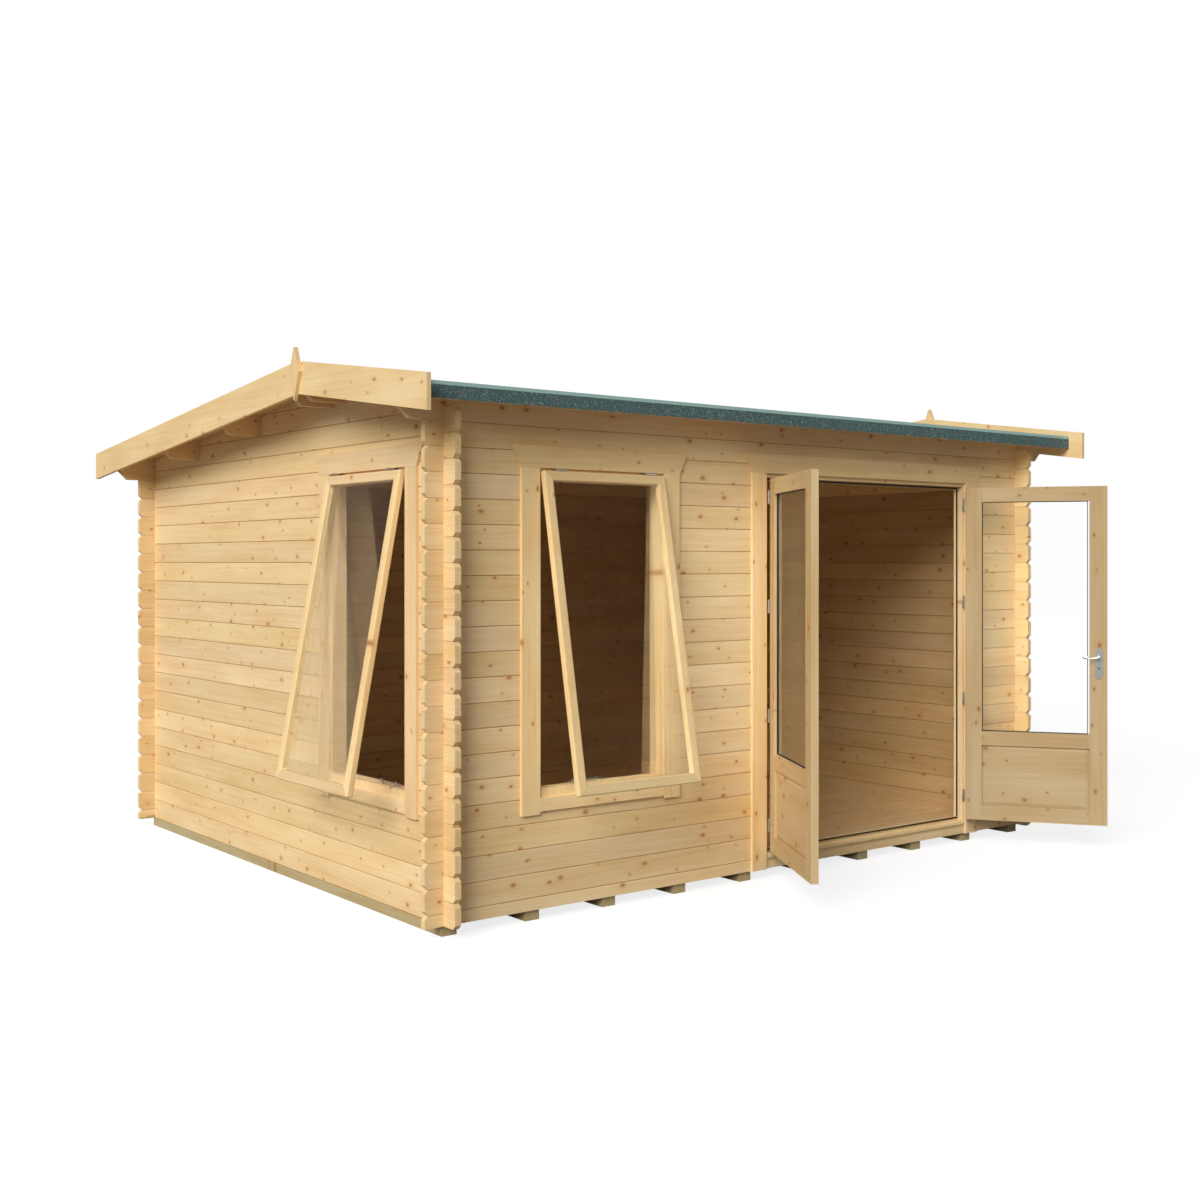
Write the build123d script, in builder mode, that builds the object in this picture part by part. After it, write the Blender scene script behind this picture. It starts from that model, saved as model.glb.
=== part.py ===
from build123d import *
import math
import os

# Log cabin with an offset ridge, in millimetres.
# Origin: on the ground, under the middle of the sixth bearer from the left, midway from front
# to back. X runs along the front wall, Y from the front wall to the back wall, Z is up. The
# front wall faces -Y.

# Log walls
COURSE = 110.0            # height that one log covers
LOG = 30.0                # thickness of a log
CABIN_X = 3960.0          # outside of the left wall to outside of the right wall
CABIN_Y = 3340.0          # outside of the front wall to outside of the back wall
LOG_END = 92.0            # how far a log runs on past the corner
END_CUT = 18.0            # corner cut on a log's free end
JOINT_EDGE = 3.5          # bevel along a log that makes the V joint
GAP = 0.4                 # hairline between two pieces that lie together
FRONT_COURSES = 19        # full logs in the front wall, over its half log
BACK_COURSES = 18         # full logs in the back wall, over its half log

# Floor
BEARER_W = 75.0
BEARER_H = 47.0
BEARERS = 10
BEARER_INSET = 15.0       # bearer end to the wall's outer face
DECK = 19.0               # thickness of the floor boards

# Roof
RIDGE_FROM_FRONT = 870.0  # ridge to the front wall's outer face
RIDGE_RISE = 2400.0       # underside of the roof boards at the ridge, over the bearers
FRONT_PLATE = 2272.0      # top of the front eave log, over the bearers
BACK_PLATE = 2160.0       # top of the back eave log, over the bearers
ROOF_BOARD = 19.0
FELT = 3.0
EAVE_REACH = 190.0        # outer face of the felted eave to the wall
EAVE_LIP = 15.0           # fascia's top over the roof boards, with the felt laid over it
FASCIA_H = 69.0
FASCIA_T = 18.0
GABLE_REACH = 250.0       # outer face of the bargeboard to the gable wall
BARGE_T = 20.0
BARGE_H = 152.0           # height of a bargeboard, measured upright
BARGE_OVER = 70.0         # bargeboard's top edge over the roof boards' underside
BARGE_END = 280.0         # bargeboard's end to the wall
PURLIN_T = 40.0
PURLIN_H = 104.0
RIDGE_PURLIN_BACK = (5.0, 125.0)  # ridge line to the near face of each ridge purlin
BACK_PURLINS = (1811.0, 2616.0)   # front wall's outer face to each purlin on the back slope
BEAM_CUT = 65.0           # lower corner cut on a purlin's or eave log's end
FINIAL_T = 18.0
FINIAL_OVER = 63.0        # finial's tip over the bargeboards' top edge
FINIAL_SHOULDER = (26.5, 57.0)    # half width, and depth under the tip
FINIAL_WIDEST = (49.0, 117.0)
FINIAL_POINT = 130.0      # widest part down to the lower point

# Trim boards round the windows and the door
TRIM_T = 15.0
TRIM_W = 97.0
FLARE = 53.0              # how far a header board's end leans out

# Windows, with their heights over the bearers
WINDOW_W = 720.0          # between the trim boards
WINDOW_TOP = 1962.0       # underside of the header board
WINDOW_SILL = 496.0       # top of the bottom board
FRONT_WINDOW_X = 851.0    # window's centre to the outside of the left wall
LEFT_WINDOW_Y = 660.0     # window's centre to the outside of the front wall
BOTTOM_BOARD = 59.0
SIDE_BOARD_DROP = 72.0    # side boards' lower end under the top of the bottom board
FRAME_LAP = 25.0          # frame's edge behind the trim boards
FRAME_RAIL = 38.6         # width of the window frame's members
FRAME_DEPTH = 75.0
SASH_T = 32.0
SASH_RAIL = 47.0
SASH_EDGE = 5.0           # rounding of the sash's outer edges
SASH_PROUD = 32.0         # closed sash's outer face to the wall's outer face
SASH_GAP = 9.0            # sash to the trim boards
SASH_H = 1440.0
SASH_OPEN = 10.5          # degrees that the sash stands open
PIVOT_DROP = 6.0          # header board's underside to the sash's pivot
HINGE_L = 60.0            # length of a sash hinge
HINGE_IN = 92.0           # sash's edge to the middle of a hinge
BARREL_R = 5.5
HINGE_LEAF = 24.0         # reach of the hinge leaf over the sash's top edge
HINGE_PLATE = 2.0
GLASS_T = 4.0

# Door, with its heights over the bearers
DOOR_X = 2673.0           # middle of the door to the outside of the left wall
DOOR_W = 1573.0           # between the trim boards
DOOR_HEAD = 1991.0        # underside of the header board
LEAF_BOTTOM = 91.0
LEAF_TOP = 1963.0
LEAF_T = 36.0
LEAF_GAP = 8.0            # leaf to frame
MEETING_GAP = 8.0         # between the two closed leaves
LEAF_OUT = 10.0           # closed leaf's outer face to the wall's outer face
STILE = 93.0
TOP_RAIL = 81.0
MID_RAIL = 79.0
BOTTOM_RAIL = 83.0
PANEL_H = 338.0           # panel between the bottom rail and the middle rail
PANEL_T = 12.0            # panel's thickness at its edge
PANEL_FIELD = 6.0         # how far its field stands up on each face
PANEL_BEVEL = 20.0        # width of the bevel round the field
PIN_FROM_TRIM = 15.0      # trim board's edge to the hinge pin
PIN_OUT = 14.0            # hinge pin's axis to the wall's outer face
LEAF_FROM_PIN = 6.0       # hinge pin's axis to the leaf's edge
LEFT_OPEN = 120.5         # degrees that the left leaf stands open
RIGHT_OPEN = 125.0        # degrees that the right leaf stands open
DOOR_DEPTH = 50.0         # depth of the door frame
DOOR_STOP = 14.0          # width of the stop that the leaves close on
DOOR_STOP_AT = 36.0       # front of that stop, behind the wall's outer face
SEAL_T = 4.0              # rubber seal on the front of the stop
HINGE_R = 7.0
KNUCKLE = 34.0            # height of one hinge knuckle
HINGE_HEIGHTS = (220.0, 770.0, 1320.0, 1870.0)   # joint between the knuckles, over the bearers
NOSE = 12.0               # threshold's nose to the wall's outer face
NOSE_H = 15.0
SILL_TOP = 79.0           # threshold's top under the leaves

# Handle
PLATE_W = 44.0
PLATE_H = 170.0
PLATE_T = 3.0
PLATE_AT = 984.0          # plate's centre over the bearers
LEVER_AT = 1017.0        # spindle's axis over the bearers
HANDLE_IN = 44.0          # plate's middle to the leaf's free edge
LEVER_L = 88.0
LEVER_R = 8.0
LEVER_OUT = 42.0          # leaf's face to the lever's axis
SPINDLE_R = 8.0

# Places worked out from the sizes above
BEARER_PITCH = (CABIN_X - BEARER_W) / (BEARERS - 1)
MIDDLE = -BEARER_PITCH / 2
LEFT = MIDDLE - CABIN_X / 2
RIGHT = MIDDLE + CABIN_X / 2
FRONT = -CABIN_Y / 2
BACK = CABIN_Y / 2
BASE = BEARER_H
HALF = COURSE / 2
QUARTER = COURSE / 4
RIDGE = FRONT + RIDGE_FROM_FRONT
FRONT_SLOPE = (RIDGE_RISE - FRONT_PLATE) / (RIDGE - FRONT)
BACK_SLOPE = (RIDGE_RISE - BACK_PLATE) / (BACK - RIDGE)
GABLE_LEFT = LEFT - GABLE_REACH
GABLE_RIGHT = RIGHT + GABLE_REACH
BEAM_LEFT = GABLE_LEFT + BARGE_T
BEAM_RIGHT = GABLE_RIGHT - BARGE_T
DOOR_LEFT = LEFT + DOOR_X - DOOR_W / 2
DOOR_RIGHT = LEFT + DOOR_X + DOOR_W / 2
DOOR_CUT = (DOOR_LEFT - FRAME_LAP, DOOR_RIGHT + FRAME_LAP)
WINDOW_X = LEFT + FRONT_WINDOW_X
WINDOW_Y = FRONT + LEFT_WINDOW_Y
WINDOW_HALF_CUT = WINDOW_W / 2 + FRAME_LAP
SILL_COURSES = round((WINDOW_SILL - HALF) / COURSE)   # full front logs under the front window

os.makedirs("parts", exist_ok=True)


def under_roof(y, drop=0.0):
    """Height of the roof boards' underside at y, less a drop."""
    slope = FRONT_SLOPE * (RIDGE - y) if y < RIDGE else BACK_SLOPE * (y - RIDGE)
    return BASE + RIDGE_RISE - slope - drop


def log_outline(start, end, low, high, notches=(), cuts=(0, 0, 0, 0)):
    """Outline of a log seen square on: (along, up) points.

    notches are (from, to, depth below, depth above); cuts are the corner cuts at the start's
    lower and upper corner and at the end's lower and upper corner.
    """
    low, high = low + GAP / 2, high - GAP / 2
    notches = sorted(notches)
    start_low, start_high, end_low, end_high = cuts
    points = [(start, low + start_low), (start + start_low, low)] if start_low else [(start, low)]
    for near, far, below, _ in notches:
        if below:
            top = low + below
            points += [(near, low), (near, top), (far, top), (far, low)]
    points += [(end - end_low, low), (end, low + end_low)] if end_low else [(end, low)]
    points += [(end, high - end_high), (end - end_high, high)] if end_high else [(end, high)]
    for near, far, _, above in reversed(notches):
        if above:
            bottom = high - above
            points += [(far, high), (far, bottom), (near, bottom), (near, high)]
    points += [(start + start_high, high), (start, high - start_high)] if start_high else [(start, high)]
    tidy = [point for i, point in enumerate(points) if point != points[i - 1]]
    return tidy


def crossing(near, far, below=True, above=True):
    """Notch where a log of the next wall crosses this one."""
    return (near - GAP, far + GAP, QUARTER if below else 0.0, QUARTER if above else 0.0)


def draw_log(start, end, low, high, notches=(), cuts=(0, 0, 0, 0)):
    """Add one log's outline to the sketch that is open."""
    Polygon(*log_outline(start, end, low, high, notches, cuts), align=None)


def long_edges(part, axis):
    """The edges along a log that its V joints are cut on."""
    edges = part.edges().filter_by(axis)
    return edges.filter_by(lambda edge: edge.length > LOG_END)


def finish(piece, name):
    """Label a finished piece and write it."""
    piece.part.label = name
    export_step(piece.part, f"parts/{name}.step")


# Ends of the logs: free ends run past the corners with cut corners
FREE = LOG_END
CORNER_CUTS = (END_CUT, END_CUT)
NO_CUTS = (0, 0)
FRONT_PLANE = Plane.XZ.offset(-FRONT)
BACK_PLANE = Plane.XZ.offset(-(BACK - LOG))
LEFT_PLANE = Plane.YZ.offset(LEFT)
RIGHT_PLANE = Plane.YZ.offset(RIGHT - LOG)
X_CROSSINGS = ((LEFT, LEFT + LOG), (RIGHT - LOG, RIGHT))
Y_CROSSINGS = ((FRONT, FRONT + LOG), (BACK - LOG, BACK))


def front_course(number):
    """Low and high edge of a full log in the front or back wall, number 1 on the half log."""
    return BASE + HALF + (number - 1) * COURSE, BASE + HALF + number * COURSE


def side_course(number):
    """Low and high edge of a full log in a side wall, number 1 at the bottom."""
    return BASE + (number - 1) * COURSE, BASE + number * COURSE


# Floor bearers and floor boards
with BuildPart() as floor_bearers:
    run = CABIN_Y - 2 * BEARER_INSET
    with Locations((MIDDLE, 0, 0)), GridLocations(BEARER_PITCH, run, BEARERS, 1):
        Box(BEARER_W, run, BEARER_H, align=(Align.CENTER, Align.CENTER, Align.MIN))
finish(floor_bearers, "floor_bearers")

with BuildPart() as floor_boards:
    with BuildSketch(Plane.XY.offset(BASE)), Locations((MIDDLE, 0)):
        Rectangle(CABIN_X - 2 * (LOG + GAP), CABIN_Y - 2 * (LOG + GAP))
    extrude(amount=DECK)
finish(floor_boards, "floor_boards")

# Front wall
with BuildPart() as front_sill_log:
    with BuildSketch(FRONT_PLANE):
        notches = [crossing(near, far, below=False) for near, far in X_CROSSINGS]
        draw_log(LEFT - FREE, RIGHT + FREE, BASE, BASE + HALF, notches, (0, END_CUT, 0, END_CUT))
    extrude(amount=-LOG)
    chamfer(long_edges(front_sill_log, Axis.X).group_by(Axis.Z)[-1], JOINT_EDGE)
finish(front_sill_log, "front_sill_log")

with BuildPart() as front_wall_under_window:
    with BuildSketch(FRONT_PLANE):
        for number in range(1, SILL_COURSES + 1):
            low, high = front_course(number)
            draw_log(LEFT - FREE, DOOR_CUT[0], low, high, [crossing(*X_CROSSINGS[0])],
                     CORNER_CUTS + NO_CUTS)
    extrude(amount=-LOG)
    chamfer(long_edges(front_wall_under_window, Axis.X), JOINT_EDGE)
finish(front_wall_under_window, "front_wall_under_window")

with BuildPart() as front_wall_left:
    with BuildSketch(FRONT_PLANE):
        for number in range(SILL_COURSES + 1, FRONT_COURSES - 1):
            low, high = front_course(number)
            draw_log(LEFT - FREE, WINDOW_X - WINDOW_HALF_CUT, low, high, [crossing(*X_CROSSINGS[0])],
                     CORNER_CUTS + NO_CUTS)
    extrude(amount=-LOG)
    chamfer(long_edges(front_wall_left, Axis.X), JOINT_EDGE)
finish(front_wall_left, "front_wall_left")

with BuildPart() as front_wall_middle:
    with BuildSketch(FRONT_PLANE):
        for number in range(SILL_COURSES + 1, FRONT_COURSES - 1):
            low, high = front_course(number)
            draw_log(WINDOW_X + WINDOW_HALF_CUT, DOOR_CUT[0], low, high)
    extrude(amount=-LOG)
    chamfer(long_edges(front_wall_middle, Axis.X), JOINT_EDGE)
finish(front_wall_middle, "front_wall_middle")

with BuildPart() as front_wall_over_window:
    with BuildSketch(FRONT_PLANE):
        low, high = front_course(FRONT_COURSES - 1)
        window_notch = (WINDOW_X - WINDOW_HALF_CUT, WINDOW_X + WINDOW_HALF_CUT, HALF, 0.0)
        draw_log(LEFT - FREE, DOOR_CUT[0], low, high, [crossing(*X_CROSSINGS[0]), window_notch],
                 CORNER_CUTS + NO_CUTS)
    extrude(amount=-LOG)
    chamfer(long_edges(front_wall_over_window, Axis.X), JOINT_EDGE)
finish(front_wall_over_window, "front_wall_over_window")

with BuildPart() as front_wall_right:
    with BuildSketch(FRONT_PLANE):
        for number in range(1, FRONT_COURSES):
            low, high = front_course(number)
            draw_log(DOOR_CUT[1], RIGHT + FREE, low, high, [crossing(*X_CROSSINGS[1])],
                     NO_CUTS + CORNER_CUTS)
    extrude(amount=-LOG)
    chamfer(long_edges(front_wall_right, Axis.X), JOINT_EDGE)
finish(front_wall_right, "front_wall_right")

with BuildPart() as front_wall_top:
    with BuildSketch(FRONT_PLANE):
        low, high = front_course(FRONT_COURSES)
        notches = [crossing(near, far) for near, far in X_CROSSINGS]
        draw_log(LEFT - FREE, RIGHT + FREE, low, high, notches, (END_CUT, 0, END_CUT, 0))
    extrude(amount=-LOG)
    chamfer(long_edges(front_wall_top, Axis.X), JOINT_EDGE)
finish(front_wall_top, "front_wall_top")

# Back wall
with BuildPart() as back_wall:
    with BuildSketch(BACK_PLANE):
        notches = [crossing(near, far, below=False) for near, far in X_CROSSINGS]
        draw_log(LEFT - FREE, RIGHT + FREE, BASE, BASE + HALF, notches, (0, END_CUT, 0, END_CUT))
        for number in range(1, BACK_COURSES + 1):
            low, high = front_course(number)
            notches = [crossing(near, far) for near, far in X_CROSSINGS]
            upper_cut = 0 if number == BACK_COURSES else END_CUT
            draw_log(LEFT - FREE, RIGHT + FREE, low, high, notches,
                     (END_CUT, upper_cut, END_CUT, upper_cut))
    extrude(amount=-LOG)
    chamfer(long_edges(back_wall, Axis.X), JOINT_EDGE)
finish(back_wall, "back_wall")


def eave_log(face, depth, low):
    """A wall plate that runs out to the bargeboards, with its top cut to the roof's slope."""
    inside = face + depth
    with BuildSketch(Plane.YZ.offset(BEAM_LEFT)) as section:
        Polygon((face, low), (inside, low), (inside, under_roof(inside)), (face, under_roof(face)),
                align=None)
    extrude(section.sketch, amount=BEAM_RIGHT - BEAM_LEFT)


def cut_beam_ends(beam, low_of):
    """Cut the lower corners off both ends of each beam in the part."""
    for solid in list(beam.part.solids()):
        box = solid.bounding_box()
        low = low_of(box)
        with BuildSketch(Plane.XZ.offset(-box.min.Y)) as corners:
            Polygon((BEAM_LEFT, low), (BEAM_LEFT + BEAM_CUT, low), (BEAM_LEFT, low + BEAM_CUT),
                    align=None)
            Polygon((BEAM_RIGHT, low), (BEAM_RIGHT - BEAM_CUT, low), (BEAM_RIGHT, low + BEAM_CUT),
                    align=None)
        extrude(corners.sketch, amount=-box.size.Y, mode=Mode.SUBTRACT)


def lowest(box):
    return box.min.Z


FRONT_EAVE_LOW = front_course(FRONT_COURSES)[1]
BACK_EAVE_LOW = front_course(BACK_COURSES)[1]


def notch_eave_log(face, low):
    """Cut the quarter notches where the gables' top logs cross under an eave log."""
    with BuildSketch(Plane.XZ.offset(-face)) as notches:
        for near, far in X_CROSSINGS:
            Polygon((near - GAP, low), (far + GAP, low), (far + GAP, low + QUARTER + GAP / 2),
                    (near - GAP, low + QUARTER + GAP / 2), align=None)
    extrude(notches.sketch, amount=-LOG, mode=Mode.SUBTRACT)


with BuildPart() as front_eave_log:
    eave_log(FRONT, LOG, FRONT_EAVE_LOW + GAP / 2)
    cut_beam_ends(front_eave_log, lowest)
    notch_eave_log(FRONT, FRONT_EAVE_LOW)
finish(front_eave_log, "front_eave_log")

with BuildPart() as back_eave_log:
    eave_log(BACK, -LOG, BACK_EAVE_LOW + GAP / 2)
    cut_beam_ends(back_eave_log, lowest)
    notch_eave_log(BACK - LOG, BACK_EAVE_LOW)
finish(back_eave_log, "back_eave_log")

# Purlins
RIDGE_PURLINS = tuple(RIDGE + reach for reach in RIDGE_PURLIN_BACK)
SLOPE_PURLINS = tuple(FRONT + reach for reach in BACK_PURLINS)


def purlin_section(near):
    """A purlin's section, its top cut to the roof's slope."""
    far = near + PURLIN_T
    low = min(under_roof(near), under_roof(far)) - PURLIN_H
    return [(near, low), (far, low), (far, under_roof(far)), (near, under_roof(near))]


with BuildPart() as ridge_purlins:
    for near in RIDGE_PURLINS:
        with BuildSketch(Plane.YZ.offset(BEAM_LEFT)):
            Polygon(*purlin_section(near), align=None)
        extrude(amount=BEAM_RIGHT - BEAM_LEFT)
    cut_beam_ends(ridge_purlins, lowest)
finish(ridge_purlins, "ridge_purlins")

with BuildPart() as back_purlins:
    for near in SLOPE_PURLINS:
        with BuildSketch(Plane.YZ.offset(BEAM_LEFT)):
            Polygon(*purlin_section(near), align=None)
        extrude(amount=BEAM_RIGHT - BEAM_LEFT)
    cut_beam_ends(back_purlins, lowest)
finish(back_purlins, "back_purlins")


def gable_opening():
    """Cut the roof's slopes and the purlins' holes out of the gable sketch that is open."""
    high = BASE + RIDGE_RISE + COURSE
    out = LOG_END + COURSE
    Polygon((FRONT - out, under_roof(FRONT - out, GAP)), (RIDGE, under_roof(RIDGE, GAP)),
            (BACK + out, under_roof(BACK + out, GAP)), (BACK + out, high), (FRONT - out, high),
            align=None, mode=Mode.SUBTRACT)
    for near in RIDGE_PURLINS + SLOPE_PURLINS:
        low = purlin_section(near)[0][1] - GAP
        joint = BASE + round((low - BASE) / COURSE) * COURSE
        if abs(low - joint) < JOINT_EDGE + 1:      # leaves no sliver of a log by the joint
            low = joint if low > joint else joint - JOINT_EDGE - 1
        Polygon((near - GAP, low), (near + PURLIN_T + GAP, low), (near + PURLIN_T + GAP, high),
                (near - GAP, high), align=None, mode=Mode.SUBTRACT)


def gable_courses(first):
    """Draw the side wall's logs from one course up to the ridge."""
    number = first
    while side_course(number)[0] < BASE + RIDGE_RISE - GAP:
        low, high = side_course(number)
        passes_front = low < FRONT_EAVE_LOW
        passes_back = low < BACK_EAVE_LOW
        start = FRONT - FREE if passes_front else FRONT + LOG + GAP
        end = BACK + FREE if passes_back else BACK - LOG - GAP
        notches = []
        if passes_front:
            notches.append(crossing(*Y_CROSSINGS[0]))
        if passes_back:
            notches.append(crossing(*Y_CROSSINGS[1]))
        front_cuts = (END_CUT, END_CUT) if passes_front else NO_CUTS
        back_cuts = (END_CUT, END_CUT) if passes_back else NO_CUTS
        draw_log(start, end, low, high, notches, front_cuts + back_cuts)
        number += 1


def full_side_course(number, notches=()):
    """Draw a side wall's log that runs from front corner to back corner."""
    low, high = side_course(number)
    crossings = [crossing(*span) for span in Y_CROSSINGS]
    draw_log(FRONT - FREE, BACK + FREE, low, high, crossings + list(notches),
             CORNER_CUTS + CORNER_CUTS)


SILL_SIDE = int(WINDOW_SILL // COURSE) + 1     # side log that the window's frame is let into
HEAD_SIDE = int(round(WINDOW_TOP / COURSE))    # last side log beside the window

# Left wall and gable
with BuildPart() as left_wall_lower:
    with BuildSketch(LEFT_PLANE):
        for number in range(1, SILL_SIDE):
            full_side_course(number)
        depth = side_course(SILL_SIDE)[1] - BASE - WINDOW_SILL
        window_notch = (WINDOW_Y - WINDOW_HALF_CUT, WINDOW_Y + WINDOW_HALF_CUT, 0.0, depth)
        full_side_course(SILL_SIDE, [window_notch])
    extrude(amount=LOG)
    chamfer(long_edges(left_wall_lower, Axis.Y), JOINT_EDGE)
finish(left_wall_lower, "left_wall_lower")

with BuildPart() as left_wall_front:
    with BuildSketch(LEFT_PLANE):
        for number in range(SILL_SIDE + 1, HEAD_SIDE + 1):
            low, high = side_course(number)
            draw_log(FRONT - FREE, WINDOW_Y - WINDOW_HALF_CUT, low, high, [crossing(*Y_CROSSINGS[0])],
                     CORNER_CUTS + NO_CUTS)
    extrude(amount=LOG)
    chamfer(long_edges(left_wall_front, Axis.Y), JOINT_EDGE)
finish(left_wall_front, "left_wall_front")

with BuildPart() as left_wall_back:
    with BuildSketch(LEFT_PLANE):
        for number in range(SILL_SIDE + 1, HEAD_SIDE + 1):
            low, high = side_course(number)
            draw_log(WINDOW_Y + WINDOW_HALF_CUT, BACK + FREE, low, high, [crossing(*Y_CROSSINGS[1])],
                     NO_CUTS + CORNER_CUTS)
    extrude(amount=LOG)
    chamfer(long_edges(left_wall_back, Axis.Y), JOINT_EDGE)
finish(left_wall_back, "left_wall_back")

with BuildPart() as left_gable:
    with BuildSketch(LEFT_PLANE):
        gable_courses(HEAD_SIDE + 1)
        gable_opening()
    extrude(amount=LOG)
    chamfer(long_edges(left_gable, Axis.Y), JOINT_EDGE)
finish(left_gable, "left_gable")

# Right wall and gable
with BuildPart() as right_wall:
    with BuildSketch(RIGHT_PLANE):
        for number in range(1, HEAD_SIDE + 1):
            full_side_course(number)
    extrude(amount=LOG)
    chamfer(long_edges(right_wall, Axis.Y), JOINT_EDGE)
finish(right_wall, "right_wall")

with BuildPart() as right_gable:
    with BuildSketch(RIGHT_PLANE):
        gable_courses(HEAD_SIDE + 1)
        gable_opening()
    extrude(amount=LOG)
    chamfer(long_edges(right_gable, Axis.Y), JOINT_EDGE)
finish(right_gable, "right_gable")

# Roof boards, fascias and felt
DECK_FRONT = FRONT - EAVE_REACH + FELT + FASCIA_T
DECK_BACK = BACK + EAVE_REACH - FELT - FASCIA_T
ROOF_PLANE = Plane.YZ.offset(BEAM_LEFT)
ROOF_RUN = BEAM_RIGHT - BEAM_LEFT


def slope_band(start, end, low, high):
    """A band along the roof's slope, low and high over the roof boards' underside."""
    return [(start, under_roof(start) + low), (end, under_roof(end) + low),
            (end, under_roof(end) + high), (start, under_roof(start) + high)]


with BuildPart() as roof_boards_front:
    with BuildSketch(ROOF_PLANE):
        Polygon(*slope_band(DECK_FRONT, RIDGE - GAP / 2, 0.0, ROOF_BOARD), align=None)
    extrude(amount=ROOF_RUN)
finish(roof_boards_front, "roof_boards_front")

with BuildPart() as roof_boards_back:
    with BuildSketch(ROOF_PLANE):
        Polygon(*slope_band(RIDGE + GAP / 2, DECK_BACK, 0.0, ROOF_BOARD), align=None)
    extrude(amount=ROOF_RUN)
finish(roof_boards_back, "roof_boards_back")


def fascia_section(inner, outer):
    """A fascia board's section, its top a lip over the roof boards."""
    top = under_roof(inner) + ROOF_BOARD + EAVE_LIP
    return [(inner, top), (outer, top), (outer, top - FASCIA_H),
            (inner, top - FASCIA_H)]


with BuildPart() as eave_fascias:
    with BuildSketch(ROOF_PLANE):
        Polygon(*fascia_section(DECK_FRONT, DECK_FRONT - FASCIA_T), align=None)
        Polygon(*fascia_section(DECK_BACK, DECK_BACK + FASCIA_T), align=None)
    extrude(amount=ROOF_RUN)
finish(eave_fascias, "eave_fascias")


def felt_section(ridge, inner, outer):
    """Felt over one slope, up over the fascia's lip and down the fascia's face."""
    outward = math.copysign(1, outer - inner)
    board = outer - outward * FELT
    turn = inner - outward * FELT
    top = under_roof(inner) + ROOF_BOARD + EAVE_LIP
    return [(ridge, under_roof(ridge) + ROOF_BOARD), (inner, under_roof(inner) + ROOF_BOARD),
            (inner, top), (board, top), (board, top - FASCIA_H), (outer, top - FASCIA_H),
            (outer, top + FELT), (turn, top + FELT), (turn, under_roof(turn) + ROOF_BOARD + FELT),
            (ridge, under_roof(ridge) + ROOF_BOARD + FELT)]


with BuildPart() as roof_felt:
    with BuildSketch(ROOF_PLANE):
        Polygon(*felt_section(RIDGE - GAP / 2, DECK_FRONT, FRONT - EAVE_REACH), align=None)
        Polygon(*felt_section(RIDGE + GAP / 2, DECK_BACK, BACK + EAVE_REACH), align=None)
    extrude(amount=ROOF_RUN)
finish(roof_felt, "roof_felt")

# Bargeboards and finials
BARGE_LOW = BARGE_OVER - BARGE_H


def barge_pair():
    """Draw the two bargeboards of one gable, with upright ends, meeting under the finial."""
    Polygon(*slope_band(FRONT - BARGE_END, RIDGE - GAP / 2, BARGE_LOW, BARGE_OVER), align=None)
    Polygon(*slope_band(RIDGE + GAP / 2, BACK + BARGE_END, BARGE_LOW, BARGE_OVER), align=None)


with BuildPart() as left_bargeboards:
    with BuildSketch(Plane.YZ.offset(GABLE_LEFT)):
        barge_pair()
    extrude(amount=BARGE_T)
finish(left_bargeboards, "left_bargeboards")

with BuildPart() as right_bargeboards:
    with BuildSketch(Plane.YZ.offset(GABLE_RIGHT - BARGE_T)):
        barge_pair()
    extrude(amount=BARGE_T)
finish(right_bargeboards, "right_bargeboards")


def finial_outline():
    """A kite whose upper point is drawn out into a rounded spike."""
    tip = BASE + RIDGE_RISE + BARGE_OVER + FINIAL_OVER
    half, shoulder = FINIAL_SHOULDER
    widest, wide_at = FINIAL_WIDEST
    nose = half * 0.25
    near_tip = tip - nose * 0.9
    with BuildLine(mode=Mode.PRIVATE) as outline:
        for side in (1, -1):
            Polyline((RIDGE, tip - wide_at - FINIAL_POINT), (RIDGE + side * widest, tip - wide_at),
                     (RIDGE + side * half, tip - shoulder), (RIDGE + side * nose, near_tip))
        ThreePointArc((RIDGE + nose, near_tip), (RIDGE, tip), (RIDGE - nose, near_tip))
    return outline.line


with BuildPart() as gable_finials:
    for face, away in ((GABLE_LEFT, -1), (GABLE_RIGHT, 1)):
        with BuildSketch(Plane.YZ.offset(face)):
            make_face(finial_outline().edges())
        extrude(amount=away * FINIAL_T)
finish(gable_finials, "gable_finials")

# Windows. Each has a plane on the wall's outer face: x to the right seen from outside, y up,
# z outwards, with its origin over the bearers in the middle of the window.
FRONT_UNIT = Plane(origin=(WINDOW_X, FRONT, BASE), x_dir=(1, 0, 0), z_dir=(0, -1, 0))
LEFT_UNIT = Plane(origin=(LEFT, WINDOW_Y, BASE), x_dir=(0, -1, 0), z_dir=(-1, 0, 0))
DOOR_UNIT = Plane(origin=(LEFT + DOOR_X, FRONT, BASE), x_dir=(1, 0, 0), z_dir=(0, -1, 0))
UNITS = (FRONT_UNIT, LEFT_UNIT)
PIVOT = WINDOW_TOP - PIVOT_DROP


def box_between(x_low, x_high, y_low, y_high):
    """A rectangle given by its edges, in the sketch that is open."""
    with Locations(((x_low + x_high) / 2, (y_low + y_high) / 2)):
        Rectangle(x_high - x_low, y_high - y_low)


def header_board(half_width, low):
    """A header board whose ends lean outwards."""
    Polygon((-half_width, low), (half_width, low), (half_width + FLARE, low + TRIM_W),
            (-half_width - FLARE, low + TRIM_W), align=None)


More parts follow.
